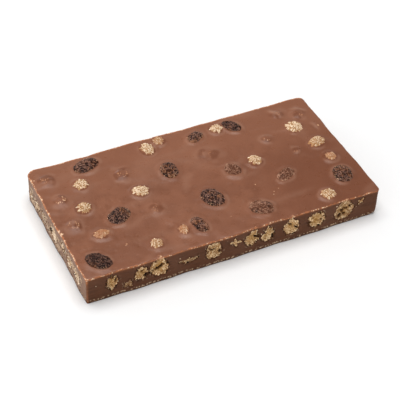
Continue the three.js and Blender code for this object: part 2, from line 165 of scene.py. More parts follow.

# The swell of the chocolate round a piece: its height, how soon it falls, how much lower its
# ring of painted highlight lies, and how deep the chocolate is sunk under the piece
SWELL = {"height": 0.32, "fall": 2.3, "ring_offset": 0.35, "pocket": 0.9}

# Where the swell starts to fall and how dark the painted shade at its rim is, by kind of piece
RIMS = ((RAISINS, -0.1, 0.25), (TOP_BISCUITS, 0.0, 0.9))

# How wide the painted highlight along the top edge is at the front and the right, and how much wider
# elsewhere
EDGE_BAND = {"width": 0.34, "more_on_left": 0.12, "more_at_back": 0.6}

# Wrinkles of a raisin: their size and height
FOLDS, RIDGES, FINE_RIDGES = (2.2, 0.26), (0.53, 0.2), (0.33, 0.1)

# Sizes in the crumb, whose grains differ at the top, in its bristles and in the cut faces
KNOB_SIZE = 0.95
GRAIN_SIZE = {"top": 0.44, "bristles": 0.52, "cut": 0.48}

# Clefts and hollows in the cut faces: along, up, length, width and turn
CLEFTS = {
    ("front", 1): ((7.7, 7.0, 0.9, 0.6, 80), (11.3, 7.6, 1.8, 0.6, 70), (11.1, 4.6, 0.9, 0.5, 60)),
    ("front", 3): ((22.9, 6.1, 2.6, 1.1, 40), (21.3, 8.3, 1.8, 0.8, 20)),
    ("front", 4): ((28.0, 7.2, 5.2, 1.15, 24), (31.3, 8.8, 1.4, 1.0, 110)),
    ("front", 5): ((39.5, 4.9, 1.0, 0.8, 90),),
    ("front", 6): ((49.3, 7.9, 2.6, 0.75, -5), (47.5, 6.9, 1.3, 0.7, 60), (52.6, 6.2, 1.6, 0.6, 80)),
    ("front", 8): ((67.6, 7.4, 3.0, 1.1, -25), (65.0, 4.0, 1.0, 0.7, -30)),
    ("front", 9): ((73.9, 5.2, 2.4, 0.7, 75), (75.1, 5.4, 1.5, 0.7, 90)),
    ("front", 10): ((81.5, 8.2, 2.4, 0.9, -40), (84.4, 6.1, 2.2, 1.0, -30), (79.7, 4.2, 1.2, 0.7, -30)),
    ("front", 11): ((94.2, 9.3, 2.4, 0.8, -45), (90.1, 5.9, 1.5, 0.8, -40), (94.9, 6.2, 1.3, 0.8, 0)),
    ("front", 12): (
        (104.0, 6.5, 2.4, 1.3, -55), (103.3, 4.4, 2.0, 1.4, -85), (105.3, 7.3, 2.2, 1.2, -15),
        (107.2, 8.0, 1.7, 1.1, -40), (104.9, 4.9, 1.5, 0.9, 15),
    ),
    ("left", 1): ((53.4, 6.4, 1.6, 0.8, 60),),
    ("left", 2): ((44.0, 5.4, 1.8, 0.9, 60),),
    ("left", 3): ((39.4, 6.2, 2.0, 1.0, 70),),
    ("left", 4): ((26.6, 5.4, 3.0, 1.7, 80),),
    ("left", 6): ((19.9, 6.0, 1.8, 0.8, 60),),
    ("left", 7): ((13.0, 5.6, 1.6, 0.8, 60),),
}

# Pieces drawn out into arms: the size of the middle, then each arm's turn and reach
ARMS = {
    ("front", 2): (0.9, ((75, 1.9), (165, 1.7), (215, 2.0), (300, 2.0), (20, 1.3))),
    ("front", 5): (0.9, ((172, 3.4), (8, 4.0), (60, 1.7), (335, 2.0), (215, 1.5))),
    ("front", 7): (0.75, ((95, 2.1), (165, 2.2), (285, 2.3), (352, 3.0))),
    ("front", 13): (0.6, ((50, 2.0), (230, 1.6), (140, 1.2), (320, 1.0))),
}
ARM_SHARPNESS = 14

# The rim of film and notches round a cut piece, and how much wider some pieces are
RIM_WIDTH = 0.36
WIDER = {("front", 1): 0.12, ("front", 4): 0.1, ("front", 8): 0.3, ("front", 9): 0.25}

# The highest that the crumb of a cut piece reaches, how deep the side is sunk behind it, and
# how far inside the side its outline is taken
CUT_TOP = 11.95
CUT_POCKET = 1.7
SECTION_DEPTH = 0.25

# How much of some cut pieces lies under smeared chocolate
FAINT = {
    ("front", 2): 0.5, ("front", 5): 0.5, ("front", 6): 0.15, ("front", 12): 0.28,
    ("left", 5): 0.65, ("left", 6): 0.3,
}

# Steps along each edge of the icosahedron that the round pieces are made of
BALL_STEPS = 24

# What share of their points lies within which angle of the way out, where they show
TOP_CROWD = (0.8, math.radians(75))
CUT_CROWD = (0.88, math.radians(90))

# Spacing of the slab's surface points
EDGE_LINES = (0, 0.06, 0.14, 0.25, 0.4, 0.62)
GRID_STEP = 0.41
SIDE_STEP = 0.26
SOLE_STEP = 4.0
CUT_STEPS = 360


# Repeatable noise

def hashed(lattice, seed):
    """A random number from 0 to 1 for each point of a whole-number lattice."""
    mask = np.int64(0xFFFFFFFF)
    x, y, z = (lattice[..., i].astype(np.int64) for i in range(3))
    mixed = (x * 73856093 ^ y * 19349663 ^ z * 83492791 ^ seed * 2654435761) & mask
    mixed = ((mixed ^ mixed >> 15) * 2246822519) & mask
    mixed = ((mixed ^ mixed >> 13) * 3266489917) & mask
    return ((mixed ^ mixed >> 16) & mask) / float(mask)


def smooth(t):
    t = np.clip(t, 0, 1)
    return t * t * (3 - 2 * t)


def bell(t):
    return np.exp(-(t**2))


def noise(points, size, seed):
    """Smooth noise from -1 to 1 whose bumps are about as wide as the given size."""
    scaled = points / size
    base = np.floor(scaled)
    part = smooth(scaled - base)
    total = np.zeros(len(points))
    for corner in itertools.product((0, 1), repeat=3):
        weight = np.prod(np.where(corner, part, 1 - part), axis=-1)
        total += weight * hashed(base + corner, seed)
    return 2 * total - 1


def layered(points, size, seed, layers=3):
    """Noise with finer and fainter noise on it."""
    return sum(noise(points, size / 2**i, seed + i) / 2**i for i in range(layers)) / 1.5


def bend(points, size, seed):
    """Noise in each direction, to bend a pattern with."""
    return np.stack([noise(points, size, seed + k) for k in range(3)], axis=-1)


def cells(points, size, seed):
    """The distance to the nearest of scattered points, one in each cell."""
    scaled = points / size
    base = np.floor(scaled)
    nearest = np.full(len(points), FAR)
    for offset in itertools.product((-1, 0, 1), repeat=3):
        cell = base + offset
        place = cell + np.stack([hashed(cell, seed + k) for k in range(3)], axis=-1)
        nearest = np.minimum(nearest, np.linalg.norm(place - scaled, axis=-1))
    return nearest


def lines(points, size, seed, half_width):
    """Wandering ridges: 1 on their crests, 0 between them."""
    return np.maximum(0, 1 - np.abs(noise(points, size, seed)) / half_width)


def crumb_knobs(points, seed):
    """Round knobs: 1 on their tops, 0 between them."""
    return np.sqrt(np.maximum(0, 1 - (cells(points, KNOB_SIZE, seed) / 0.85) ** 2))


def crumb_grains(points, kind, seed):
    """Small pointed grains: 1 on their tips, 0 between them."""
    return np.maximum(0, 1 - cells(points, GRAIN_SIZE[kind], seed) / 0.75)


def flat_points(x, y):
    return np.column_stack([x, y, np.zeros_like(x)])


def in_oval(oval, x, y):
    """Where points lie along and across an oval, in shares of its half sizes."""
    middle_x, middle_y, length, width, turn = oval[:5]
    dx, dy, angle = x - middle_x, y - middle_y, math.radians(turn)
    along = dx * math.cos(angle) + dy * math.sin(angle)
    across = dy * math.cos(angle) - dx * math.sin(angle)
    return 2 * along / length, 2 * across / width


# Meshes

def add_object(name, data):
    thing = bpy.data.objects.new(name, data)
    bpy.context.scene.collection.objects.link(thing)
    return thing


def add_mesh(name, points, faces, materials, nodes, values, kinds=None):
    """A piece of the object that stands for CAD nodes, with a number for each point by name."""
    mesh = bpy.data.meshes.new(name)
    mesh.from_pydata((np.asarray(points) * MM).tolist(), [], faces)
    for material in materials:
        mesh.materials.append(material)
    if kinds is not None:
        mesh.polygons.foreach_set("material_index", kinds)
    mesh.shade_smooth()
    for key, numbers in values.items():
        attribute = mesh.attributes.new(key, "FLOAT", "POINT")
        attribute.data.foreach_set("value", np.asarray(numbers, dtype=np.float32))
    piece = add_object(name, mesh)
    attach(piece, BODY)
    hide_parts(*nodes)


def node_mesh(node):
    """A node's corners, measured from the slab's front left corner, and its faces."""
    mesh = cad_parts[node].data
    points = np.array([vertex.co for vertex in mesh.vertices]) / MM
    faces = [tuple(polygon.vertices) for polygon in mesh.polygons]
    return points + MIDDLE, faces


def section(node, origin, across, up, out):
    """Where a plane cuts a node: the middle of the cut and its radius at each angle."""
    points, faces = node_mesh(node)
    local = points - origin
    height = local @ out
    crossings = []
    for face in faces:
        for a, b in zip(face, face[1:] + face[:1]):
            if height[a] * height[b] < 0:
                share = height[a] / (height[a] - height[b])
                crossings.append(local[a] + share * (local[b] - local[a]))
    flat = np.array([(p @ across, p @ up) for p in crossings])
    middle = (flat.min(0) + flat.max(0)) / 2
    flat -= middle
    angles = np.arctan2(flat[:, 1], flat[:, 0])
    order = np.argsort(angles)
    radii = np.hypot(flat[:, 0], flat[:, 1])
    return {"middle": middle, "angles": angles[order], "radii": radii[order]}


def radius_at(cut, angle):
    return np.interp(angle, cut["angles"], cut["radii"], period=2 * math.pi)


def beyond(cut, u, v):
    """How far points of the plane lie outside a cut; inside, it is negative."""
    du = u - cut["middle"][0]
    dv = v - cut["middle"][1]
    return np.hypot(du, dv) - radius_at(cut, np.arctan2(dv, du))


def ragged(cut, key, seed):
    """The cut of a biscuit piece with its arms, and how far its spikes of crumb reach in it."""
    angles = np.linspace(-math.pi, math.pi, CUT_STEPS, endpoint=False)
    radii = radius_at(cut, angles)
    if key in ARMS:
        core, arms = ARMS[key]
        radii = np.full(CUT_STEPS, core)
        for turn, reach in arms:
            near = np.maximum(0, np.cos(angles - math.radians(turn))) ** ARM_SHARPNESS
            radii = np.maximum(radii, core + (reach - core) * near)
    ring = flat_points(np.cos(angles), np.sin(angles)) * radii[:, None]
    radii = radii * (1 + 0.06 * noise(ring, 1.7, seed))
    spikes = 0.9 * (0.5 - cells(ring, 0.95, seed + 1)) + 0.4 * (0.5 - cells(ring, 0.5, seed + 2))
    radii = radii + WIDER.get(key, 0.0)
    outline = radii + RIM_WIDTH
    reach = np.clip(radii + 0.12 + spikes, 0.25, outline)
    return {"middle": cut["middle"], "angles": angles, "radii": outline, "reach": reach}


# The slab

def side_wave(side, along):
    turns = 2 * math.pi * along / SIDES[side]["wavelength"]
    phase = SIDES[side]["phase"]
    wave = SIDE_WAVE["long"] * np.sin(turns + phase)
    wave = wave + SIDE_WAVE["short"] * np.sin(SIDE_WAVE["short_per_long"] * turns + 2 * phase)
    if side == "back":
        from_hollow = (along - BACK_HOLLOW["along"]) / BACK_HOLLOW["half"]
        wave = wave + BACK_HOLLOW["depth"] * bell(from_hollow)
    return wave


def outlined(x, y):
    """Points of the plain rectangle, moved onto the slab's outline."""
    left, front = x < LENGTH / 2, y < WIDTH / 2
    radius = np.where(
        front,
        np.where(left, CORNER_RADIUS["front_left"], CORNER_RADIUS["front_right"]),
        np.where(left, CORNER_RADIUS["back_left"], CORNER_RADIUS["back_right"]),
    )
    middle_x = np.where(left, radius, LENGTH - radius)
    middle_y = np.where(front, radius, WIDTH - radius)
    out_x = np.abs(x - middle_x) * np.where((x < middle_x) == left, 1, 0)
    out_y = np.abs(y - middle_y) * np.where((y < middle_y) == front, 1, 0)
    in_corner = (out_x > 0) & (out_y > 0)
    diagonal = np.hypot(out_x, out_y)
    share = np.where(in_corner, np.maximum(out_x, out_y) / np.maximum(diagonal, 1e-9), 1)
    placed_x = middle_x + (x - middle_x) * share
    placed_y = middle_y + (y - middle_y) * share

    def nearness(distance):
        return np.maximum(0, 1 - distance / SIDE_WAVE["reach"])

    placed_x = placed_x + side_wave("left", WIDTH - y) * nearness(x)
    placed_x = placed_x - side_wave("right", y) * nearness(LENGTH - x)
    placed_y = placed_y + side_wave("front", x) * nearness(y)
    placed_y = placed_y - side_wave("back", LENGTH - x) * nearness(WIDTH - y)
    return placed_x, placed_y


def grid_lines(span):
    edge = EDGE_LINES[-1]
    steps = round((span - 2 * edge) / GRID_STEP)
    between = np.linspace(edge, span - edge, steps + 1)
    ends = np.array(EDGE_LINES[:-1])
    return np.concatenate([ends, between, (span - ends)[::-1]])


def covered_mound(x, y, place):
    """A mound from 0 to 1: a broad rise with a narrower one on it."""
    px, py, size = place[:3]
    squared = ((x - px) ** 2 + (y - py) ** 2) / (size / 2) ** 2
    return 0.75 * np.exp(-0.7 * squared**1.4) + 0.25 * np.exp(-0.7 * (squared / 0.36) ** 1.4)


def rolling_top(x, y):
    """The top of the chocolate before the pieces at the top change it."""
    top = np.full(np.shape(x), THICKNESS)
    for height, length_x, length_y, phase in TOP_WAVES:
        top = top + height * np.sin(2 * math.pi * (x / length_x + y / length_y) + phase)
    for place in COVERED:
        top = top + place[3] * covered_mound(x, y, place)
    return top


def outside_oval(place, x, y):
    """How far points lie outside the oval in which a piece shows at the top."""
    share = np.hypot(*in_oval(place, x, y))
    return np.hypot(x - place[0], y - place[1]) * (1 - 1 / np.maximum(share, 1e-3))


def show(shown, key, amount, here=slice(None)):
    """Makes at least the given amount of crumb, painted shade or painted highlight show."""
    shown[key][here] = np.maximum(shown[key][here], amount)


def add_mounds(top, shown, flat):
    """The lumps and crumb over the pieces under the chocolate, with patches of painted shade and painted
    highlight.
    """
    for index, (x, y, size, lift, crumb) in enumerate(COVERED):
        distance = np.hypot(flat[:, 0] - x, flat[:, 1] - y) / (size / 2)
        near = distance < 2.2
        here = flat[near]
        wobble = distance[near] + 0.3 * noise(here, 2.6, 60 + index)
        inside = smooth((1.05 - wobble) / 0.5)
        lumps = np.maximum(0, 0.7 - cells(here, 1.8, 40 + index)) * inside
        top[near] += (0.38 * lumps + 0.16 * noise(here, 1.5, 75 + index) * inside) * lift
        some = smooth(0.3 + 0.45 * crumb + 1.5 * noise(here, 1.6, 70 + index))
        bare = smooth((0.85 - wobble) / 0.3) * some * (0.3 + 0.5 * crumb)
        show(shown, "tint", np.minimum(bare, 1), near)
        # Painted shade over each mound, in patches
        dark = smooth((1.3 - wobble) / 0.6) * smooth(0.6 - 1.4 * noise(here, 2.6, 71 + index))
        show(shown, "painted_shade", dark * (0.65 + 0.3 * crumb), near)
        # Painted highlight: a broken pale ring round each mound, and pale patches over it
        ring = bell((wobble - 1.25) / 0.4) * smooth(0.4 + 1.2 * noise(here, 3.0, 65 + index))
        show(shown, "pale", ring * (0.2 + 0.6 * lift), near)
        show(shown, "pale", 0.8 * inside * smooth(0.3 + 1.6 * noise(here, 2.2, 68 + index)), near)


def add_waves(top, shown, flat, flow):
    """Waves of painted sheen: faint wandering ones, and those of the table with painted shade beside them, as
    in a hollow.
    """
    wandering = smooth(lines(flow * (0.8, 1.0, 1.0), 8.0, 36, 0.5)) * smooth(0.35 + 1.3 * noise(flat, 15, 37))
    top += 0.06 * wandering
    # Painted sheen along the faint wandering waves
    show(shown, "pale", 0.38 * wandering)
    bent = flat + 0.7 * bend(flat, 3.0, 38)
    for place in WAVES:
        along, across = in_oval(place, bent[:, 0], bent[:, 1])
        wave, hollow = (place[5] * np.exp(-(along**4)) * bell(across + k) for k in (0, 1.8))
        top += 0.14 * wave
        # Painted sheen on each wave of the table, and painted shade beside it
        show(shown, "pale", wave)
        show(shown, "painted_shade", 0.45 * hollow)


def add_swells(top, shown, flat):
    """The swell of the chocolate round each piece at the top, the pocket under it, painted shade at its rim
    and a ring of painted highlight nearer the front.
    """
    x, y = flat[:, 0], flat[:, 1]
    uneven = 0.3 * noise(flat, 3.0, 31)
    stronger = 1 + 0.5 * noise(flat, 4.0, 32)
    pale_patches = smooth(0.45 + 1.1 * noise(flat, 3.2, 33))
    dark_patches = smooth(0.4 + 1.1 * noise(flat, 2.4, 34))
    for place, start, darkness in ((place, *rim) for places, *rim in RIMS for place in places):
        outside = outside_oval(place, x, y)
        lower = outside_oval(place, x, y + SWELL["ring_offset"])
        fall = smooth((np.maximum(outside, 0) + uneven - start) / SWELL["fall"])
        top += SWELL["height"] * stronger * (1 - fall) - SWELL["pocket"] * smooth(-(outside + 0.45))
        # Painted shade: the chocolate darkened right round each piece
        show(shown, "painted_shade", darkness * bell(np.maximum(outside + uneven, 0) / 0.9) * dark_patches)
        # Painted highlight: a pale ring on the swell, shifted to the front of each piece
        show(shown, "pale", 0.85 * bell((lower + uneven - 0.6) / 0.75) * pale_patches)


def add_flecks(top, shown, flat):
    """The small pale crumbs in the top."""
    uneven = 0.5 * noise(flat, 0.7, 81)
    for x, y, size in FLECKS:
        distance = np.hypot(flat[:, 0] - x, flat[:, 1] - y) / (size / 2)
        speck = smooth(1.5 - distance + uneven)
        top += 0.08 * speck
        show(shown, "tint", speck * FLECK_STRENGTH["left_edge" if x < 1.0 else "elsewhere"])


def top_relief(flat):
    """The height of the top, and how much crumb, painted shade and painted highlight shows in it."""
    flow = flat * (0.7, 1.0, 1.0) + 2.5 * bend(flat, 11, 90)
    top = rolling_top(flat[:, 0], flat[:, 1])
    top += 0.25 * layered(flow, 11.0, 11, 2) + 0.18 * layered(flow, 3.6, 12, 2)
    shown = {key: np.zeros(len(flat)) for key in ("tint", "painted_shade", "pale")}
    add_mounds(top, shown, flat)
    add_waves(top, shown, flat, flow)
    add_swells(top, shown, flat)
    add_flecks(top, shown, flat)
    return top, shown


def edge_drop(inward):
    short = np.maximum(0, EDGE_RADIUS - inward)
    return EDGE_RADIUS - np.sqrt(EDGE_RADIUS**2 - short**2)


def rim_of(columns, rows):
    """The indexes of a grid's outermost points, anticlockwise from its first corner."""
    front = np.arange(columns - 1)
    right = np.arange(rows - 1) * columns + columns - 1
    back = (rows - 1) * columns + np.arange(columns - 1, 0, -1)
    left = np.arange(rows - 1, 0, -1) * columns
    return np.concatenate([front, right, back, left])


def side_of(x, y):
    """The side that each rim point belongs to."""
    names = np.full(len(x), "front", dtype="<U5")
    names[x >= LENGTH - 1e-6] = "right"
    names[y >= WIDTH - 1e-6] = "back"
    names[(x <= 1e-6) & (y > 1e-6) & (y < WIDTH - 1e-6)] = "left"
    return names


def corner_highlight(x, y):
    """From 0 to 1, how near a rim point is to an upright edge of the slab, and so how strongly painted
    highlight runs down that edge.
    """
    reach = {(0, 0): 0.85, (LENGTH, 0): 0.5, (LENGTH, WIDTH): 0.4, (0, WIDTH): 0.4}
    wear = np.zeros_like(x)
    for (px, py), amount in reach.items():
        distance = np.abs(x - px) + np.abs(y - py)
        wear = np.maximum(wear, amount * smooth((1.0 - distance) / 0.7))
    return wear


def side_recess(where, sides, side_cuts):
    """How far the side is sunk where biscuit pieces run into it, and how near they are."""
    recess = np.zeros(len(where))
    outside = np.full(len(where), FAR)
    for (side, _), cut in side_cuts.items():
        here = sides == side
        along = (where[here, :2] - SIDES[side]["start"]) @ SIDES[side]["along"]
        away = beyond(cut, along, where[here, 2])
        recess[here] = np.maximum(recess[here], CUT_POCKET * smooth((0.05 - away) / 0.35))
        outside[here] = np.minimum(outside[here], away)
    return recess * smooth((THICKNESS - 0.7 - where[:, 2]) / 0.7), outside


def sole_faces(outline):
    """Triangles for the flat underside, from the outline and a coarse grid inside it."""
    inner_x = np.arange(SOLE_STEP, LENGTH - SOLE_STEP / 2, SOLE_STEP)
    inner_y = np.arange(SOLE_STEP, WIDTH - SOLE_STEP / 2, SOLE_STEP)
    inner = np.array(list(itertools.product(inner_x, inner_y)))
    places = [Vector(p) for p in np.concatenate([outline, inner])]
    count = len(outline)
    edges = [(i, (i + 1) % count) for i in range(count)]
    _, _, faces, origins, _, _ = delaunay_2d_cdt(places, edges, [], 1, 1e-6)
    index = [origin[0] if origin else None for origin in origins]
    return inner, [tuple(index[i] for i in face) for face in faces]


def top_layer(x, y):
    """The points of the top, and the numbers that its looks follow."""
    flat = flat_points(x, y)
    inward = np.minimum.reduce([x, y, LENGTH - x, WIDTH - y])
    top, looks = top_relief(flat)
    worn = np.maximum(0, noise(flat, 1.3, 5))
    top = top - edge_drop(inward) - 0.07 * smooth(1.1 - inward) * worn
    on_left = smooth((1.5 - x) / 0.5)
    on_back = smooth((1.5 - WIDTH + y) / 0.5)
    band = EDGE_BAND["width"] + EDGE_BAND["more_on_left"] * on_left + EDGE_BAND["more_at_back"] * on_back
    # Painted highlight: the band along the top edge
    looks["edge"] = smooth((band - inward + 0.2 * noise(flat, 0.9, 6)) / 0.25)
    looks["lit_side"] = on_left
    return np.column_stack([*outlined(x, y), top]), looks


def wall_looks(where, below_top, outside, left, upright, lit_side, tint):
    """The numbers that the looks of a ring of the wall follow."""
    z = where[:, 2]
    # Painted highlight along the top of the wall and down its upright edges
    to_top = 0.3 - below_top + 0.15 * left + 0.18 * noise(where, 1.0, 7)
    upright_highlight = upright * (0.4 + 0.6 * smooth((z - 7.5) / 4))
    smeared = smooth((9.6 + noise(where, 4.0, 27) - z) / 1.5) * smooth((z - 0.9) / 0.6)
    smeared = smeared * smooth((where[:, 1] - 2.5) / 2.5)
    streaks = layered(where * (1.0, 0.5, 1.0), 2.0, 28)
    smeared = 0.6 * left * smeared * smooth(0.35 + 2.4 * streaks)
    near = (0.25 + 0.3 * lit_side) * bell(np.maximum(outside, 0) / 1.3)
    return {
        "edge": np.maximum(smooth(to_top / 0.3), upright_highlight),
        "tint": tint * smooth((0.8 - below_top) / 0.5),
        "dust": np.maximum(near, smeared),
        # Painted light on the side, less of it toward the foot
        "lit_side": lit_side * (0.2 + 0.8 * smooth((z - 0.9 + 0.5 * noise(where, 1.6, 29)) / 1.2)),
    }


def wall_layers(x, y, rim, tint, side_cuts):
    """The rings of points down the sides and round the foot, each with the numbers that its
    looks follow. The rim's points lie at x and y on the plain rectangle."""
    ring, top = rim[:, :2], rim[:, 2]
    sides = side_of(x, y)
    tangent = np.roll(ring, -1, axis=0) - np.roll(ring, 1, axis=0)
    tangent /= np.linalg.norm(tangent, axis=1)[:, None]
    to_right, to_back = -tangent[:, 1], tangent[:, 0]
    way_in = np.column_stack([to_right, to_back])
    to_middle = 1 - ring / MIDDLE[:2]
    nearness = np.maximum(0, 1 - np.hypot(LENGTH - x, y) / WORN_CORNER["reach"])
    chamfer = FOOT_CHAMFER + (WORN_CORNER["chamfer"] - FOOT_CHAMFER) * nearness
    upright = corner_highlight(x, y)
    left = smooth((to_right - 0.25) / 0.6)
    # Painted light: sides painted lighter, fully on the left, half as much on the right and a quarter as much
    # at the back
    lit_side = left + 0.5 * np.maximum(0, -to_right) + 0.25 * np.maximum(0, -to_back)
    lit_side = lit_side * (1 - upright)

    wall_rows = round((THICKNESS - EDGE_RADIUS) / SIDE_STEP)
    levels = [(step / wall_rows, 0.0, 0.0) for step in range(wall_rows - 1, -1, -1)]
    layers = []
    for height, sharp, rounded in levels + FOOT_LEVELS:
        on_wall = rounded == 0.0
        z = chamfer + (top - chamfer) * height if on_wall else chamfer * height
        where = np.column_stack([ring, z])
        if on_wall:
            rough = 0.05 * layered(where, 2.6, 21) + 0.035 * noise(where, 0.7, 24)
            recess, outside = side_recess(where, sides, side_cuts)
            sunk = (0.1 + np.maximum(-0.06, rough)) * smooth((top - z) / 0.6) + recess
            placed = ring + way_in * sunk[:, None]
        else:
            outside = FAR
            inset = chamfer * (sharp + (rounded - sharp) * nearness)
            placed = ring + to_middle * inset[:, None] + way_in * 0.1
        looks = wall_looks(where, top - z, outside, left, upright, lit_side, tint)
        layers.append((np.column_stack([placed, z]), looks))
    return layers


def build_slab(materials, side_cuts):
    """The slab as one mesh: the top, the walls and the sole, each with its own material."""
    lines_x, lines_y = grid_lines(LENGTH), grid_lines(WIDTH)
    columns, rows = len(lines_x), len(lines_y)
    x, y = (grid.ravel() for grid in np.meshgrid(lines_x, lines_y))
    top_points, top_looks = top_layer(x, y)
    corner = (np.arange(rows - 1)[:, None] * columns + np.arange(columns - 1)).ravel()
    top_faces = np.column_stack([corner, corner + 1, corner + columns + 1, corner + columns]).tolist()

    above = rim_of(columns, rows)
    walls = wall_layers(x[above], y[above], top_points[above], top_looks["tint"][above], side_cuts)
    total = len(x)
    wall_faces = []
    for layer, _ in walls:
        below = total + np.arange(len(layer))
        wall_faces += np.column_stack([below, np.roll(below, -1), np.roll(above, -1), above]).tolist()
        above = below
        total += len(layer)

    inner, triangles = sole_faces(walls[-1][0][:, :2])
    index = np.concatenate([above, total + np.arange(len(inner))])
    sole = [tuple(int(index[i]) for i in reversed(triangle)) for triangle in triangles]

    layers = [(top_points, top_looks), *walls, (flat_points(*inner.T), {})]
    points = np.concatenate([layer for layer, _ in layers]) - MIDDLE
    values = {
        key: np.concatenate([looks.get(key, np.zeros(len(layer))) for layer, looks in layers])
        for key in ("edge", "tint", "painted_shade", "pale", "dust", "lit_side")
    }
    faces = top_faces + wall_faces + sole
    kinds = np.repeat([0, 1, 2], [len(top_faces), len(wall_faces), len(sole)])
    add_mesh("chocolate_slab", points, faces, materials, ["chocolate"], values, kinds)


# Round pieces

def even_ball(steps):
    """The points and faces of a ball made of an icosahedron's faces, each cut into steps."""
    ball = bmesh.new()
    bmesh.ops.create_icosphere(ball, subdivisions=1, radius=1.0)
    corners = [[np.array(vertex.co) for vertex in face.verts] for face in ball.faces]
    ball.free()
    index, points, faces = {}, [], []

    def point(a, b, c, i, j):
        place = (a * (steps - i - j) + b * i + c * j) / steps
        key = tuple(np.round(place, 4) + 0.0)
        if key not in index:
            index[key] = len(points)
            points.append(place)
        return index[key]

    for a, b, c in corners:
        for i in range(steps):
            for j in range(steps - i):
                right, up = point(a, b, c, i + 1, j), point(a, b, c, i, j + 1)
                faces.append((point(a, b, c, i, j), right, up))
                if i + j < steps - 1:
                    faces.append((right, point(a, b, c, i + 1, j + 1), up))
    return np.array(points), faces


def crowded_ball(ball, crowd, spread):
    """The polar angles, turns and faces of a ball whose points crowd round +Z: the given
    share of its points lies within the given angle of +Z."""
    points, faces = ball
    directions = points / np.linalg.norm(points, axis=1)[:, None]
    polar = np.arccos(np.clip(directions[:, 2], -1, 1))
    boundary = math.acos(1 - 2 * crowd)
    polar = np.interp(polar, [0, boundary, math.pi], [0, spread, math.pi])
    around = np.arctan2(directions[:, 1], directions[:, 0])
    return polar, around, faces


def sunk_oval(place, shape):
    """A body sunk in the top so that the oval in which it shows is as given: its half sizes
    and the place of its middle."""
    x, y, length, width, _, proud, _ = place
    half_height = shape["height_share"] * width / 2
    level = (half_height - proud) / half_height
    share = (1 - level ** shape["squareness"]) ** (1 / shape["squareness"])
    half = np.array([length / 2 / share, width / 2 / share, half_height])
    return half, np.array([x, y, rolling_top(x, y) + PIECE_LIFT + proud - half_height])


def oval_radius(directions, half, squareness):
    return (np.abs(directions / half) ** squareness).sum(axis=1) ** (-1 / squareness)


def top_body(place, shape, ball):
    """A body at the top in its own directions: its points, the ways out, how far out in the
    oval each lies, and its faces."""
    half, middle = sunk_oval(place, shape)
    polar, around, faces = crowded_ball(ball, *TOP_CROWD)
    flat = np.sin(polar)
    directions = np.column_stack([flat * np.cos(around), flat * np.sin(around), np.cos(polar)])
    base = directions * oval_radius(directions, half, shape["squareness"])[:, None]
    share = np.hypot(2 * base[:, 0] / place[2], 2 * base[:, 1] / place[3])
    return base, directions, share, middle, faces


def placed_body(local, place, middle):
    """The points of a body at the top, turned and moved to its place."""
    angle = math.radians(place[4])
    x = local[:, 0] * math.cos(angle) - local[:, 1] * math.sin(angle)
    y = local[:, 0] * math.sin(angle) + local[:, 1] * math.cos(angle)
    return np.column_stack([x, y, local[:, 2]]) + middle - MIDDLE


def build_raisin(index, place, ball, material):
    """A wrinkled oval whose ridges are pale, under a film of chocolate in places."""
    base, directions, share, middle, faces = top_body(place, RAISIN_SHAPE, ball)
    seed = 200 + 10 * index
    covered = place[6]
    along = base * (0.62, 1.0, 1.0)
    warp = 0.4 * bend(base, 1.5, seed)
    fold = lines(along + warp, FOLDS[0], seed + 3, 0.5)
    ridge = lines(along + warp, RIDGES[0], seed + 4, 0.45)
    fine = lines(base + warp, FINE_RIDGES[0], seed + 5, 0.5)
    relief = FOLDS[1] * (fold - 0.7) + RIDGES[1] * (ridge - 0.7) + FINE_RIDGES[1] * (fine - 0.6)
    values = {
        # How pale the skin is painted on its ridges: partly dusty bloom, partly painted highlight
        "ridge": smooth(1.9 * (0.2 * fold + 0.6 * ridge + 0.65 * fine - 0.48)) * min(1, 1 + covered),
        "film": covered + 0.4 * noise(base, 2.4, seed + 6) + 0.25 * noise(base, 0.8, seed + 7),
        "rim": smooth((share - 0.7) / 0.25) * smooth(0.5 + 1.6 * noise(base, 2.0, seed + 8)),
    }
    name = f"raisin_{index:02d}"
    points = placed_body(base + directions * relief[:, None], place, middle)
    add_mesh(f"{name}_skin", points, faces, [material], [name], values)


def build_top_biscuit(index, place, ball, material):
    """A ball of crumb that bristles out of the chocolate, in a film of it at its rim."""
    place = (*place[:2], STAR_SPAN * place[2], STAR_SPAN * place[3], *place[4:])
    base, directions, share, middle, faces = top_body(place, BISCUIT_SHAPE, ball)
    seed = 400 + 10 * index
    covered = place[6]
    radius = (place[2] + place[3]) / 4
    around = base[:, :2] / np.maximum(np.linalg.norm(base[:, :2], axis=1), 1e-6)[:, None] * radius
    ring = flat_points(*around.T)
    knobs = crumb_knobs(base, seed)
    grains = crumb_grains(base, "top", seed + 3)
    bristles = crumb_grains(np.column_stack([around, 0.9 * share]), "bristles", seed + 9)
    outward = smooth((share - 0.48) / 0.35)
    grains = grains * (1 - outward) + bristles * outward
    spikes = 0.55 - cells(ring, 1.0, seed + 5) + 0.5 * (0.5 - cells(ring, 0.5, seed + 6))
    reach = 0.86 + 1.7 * spikes / radius + 0.12 * noise(ring, 2.2, seed + 7)
    film = 0.5 + 1.8 * (share - reach)
    bare = smooth((0.6 - film) / 0.2)
    relief = (0.3 * (knobs - 0.75) + 0.36 * (grains - 0.35)) * bare - 0.1 * (1 - bare)
    values = {
        # The crumb's colour follows its height: painted shade in the gaps, painted highlight on the tips
        "crumb": smooth(0.42 * knobs + 1.3 * grains - 0.32 - min(0, covered)),
        "film": film,
        "veil": np.clip(covered * (1.3 + 1.1 * noise(base, 1.3, seed + 8)), 0, 1),
        "inner": np.zeros(len(base)),
        "cleft": np.zeros(len(base)),
    }
    name = f"biscuit_top_{index:02d}"
    points = placed_body(base + directions * relief[:, None], place, middle)
    add_mesh(f"biscuit_{index:02d}_crumb", points, faces, [material], [name], values)


